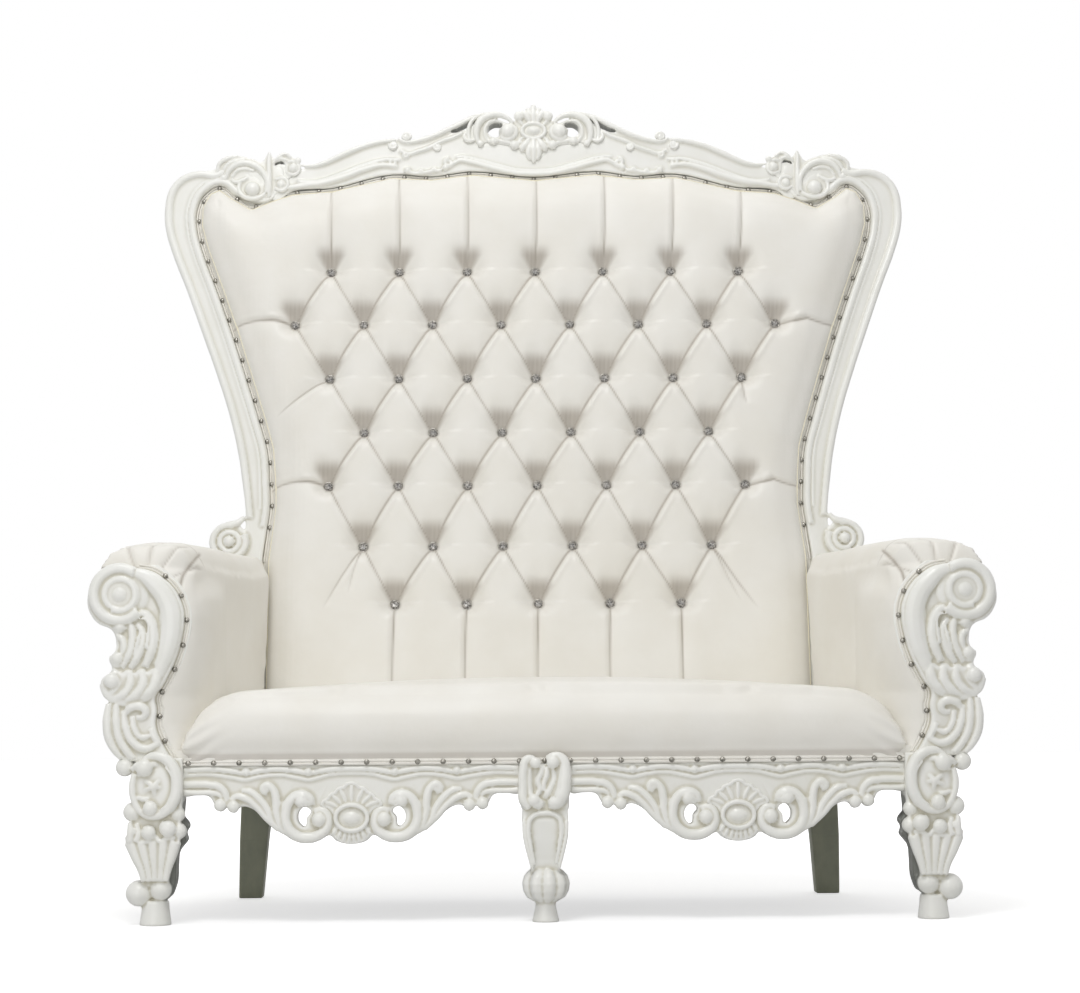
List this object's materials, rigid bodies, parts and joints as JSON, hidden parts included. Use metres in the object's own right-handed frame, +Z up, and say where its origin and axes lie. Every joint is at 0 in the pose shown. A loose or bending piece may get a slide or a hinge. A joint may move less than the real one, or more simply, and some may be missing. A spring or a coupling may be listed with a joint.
{
  "type": "double throne chair",
  "caption": "High-backed two-seat throne settee with a carved white frame, deep buttoned leather back, padded seat and scrolled arms.",
  "frame": {"origin": "on the floor, under the middle of the chair's box", "axes": "+X to the right seen from the front, +Y to the back, +Z up"},
  "size_m": [1.78, 0.8581, 1.8265],
  "materials": {
    "white_lacquer": "glossy white lacquer over carved hardwood",
    "white_leather": "ivory white faux leather with a fine grain and a soft sheen",
    "grey_leg_finish": "satin dark grey paint",
    "frame_timber": "bare sawn hardwood, hidden inside",
    "stuffing": "open upholstery foam with wadding",
    "hessian": "plain woven hessian",
    "black_dust_cloth": "thin black felt-like cloth",
    "nail_metal": "polished nickel with darkened rims",
    "spring_steel": "plain drawn steel wire and plated screws",
    "crystal": "clear cut glass, faceted",
    "waxed_thread": "waxed upholstery twine"
  },
  "bodies": {
    "root": {"apron_left": "white_lacquer", "apron_right": "white_lacquer", "apron_shell_left": "white_lacquer", "apron_shell_right": "white_lacquer", "arm_cover_left": "white_leather", "arm_cover_right": "white_leather", "arm_foam_left": "stuffing", "arm_foam_right": "stuffing", "arm_front_left": "white_lacquer", "arm_front_right": "white_lacquer", "arm_gimp": "white_leather", "arm_nails": "nail_metal", "arm_panel_left": "frame_timber", "arm_panel_right": "frame_timber", "arm_rail_left": "frame_timber", "arm_rail_right": "frame_timber", "back_board": "frame_timber", "back_cover": "white_leather", "back_cross_rail": "frame_timber", "back_foam": "stuffing", "back_gimp": "white_leather", "back_lower_rail": "frame_timber", "back_nails": "nail_metal", "back_stile_left": "white_lacquer", "back_stile_right": "white_lacquer", "button_crystals": "crystal", "button_cups": "nail_metal", "button_ties": "waxed_thread", "corner_screws": "spring_steel", "crest_cartouche": "white_lacquer", "crest_curls": "white_lacquer", "crest_rail": "white_lacquer", "dust_cover": "black_dust_cloth", "frame_bolts": "spring_steel", "frame_dowels": "frame_timber", "front_corner_blocks": "frame_timber", "front_leg_left": "white_lacquer", "front_leg_middle": "white_lacquer", "front_leg_right": "white_lacquer", "outside_arm_left": "white_leather", "outside_arm_right": "white_leather", "outside_back": "white_leather", "rear_corner_blocks": "frame_timber", "rear_leg_left": "grey_leg_finish", "rear_leg_right": "grey_leg_finish", "seat_back_rail": "frame_timber", "seat_centre_rail": "frame_timber", "seat_cover": "white_leather", "seat_deck": "hessian", "seat_foam": "stuffing", "seat_gimp": "white_leather", "seat_nails": "nail_metal", "seat_side_rail_left": "frame_timber", "seat_side_rail_right": "frame_timber", "seat_springs": "spring_steel", "shoulder_carving_left": "white_lacquer", "shoulder_carving_right": "white_lacquer", "spring_clips": "spring_steel"}
  },
  "joints": []
}
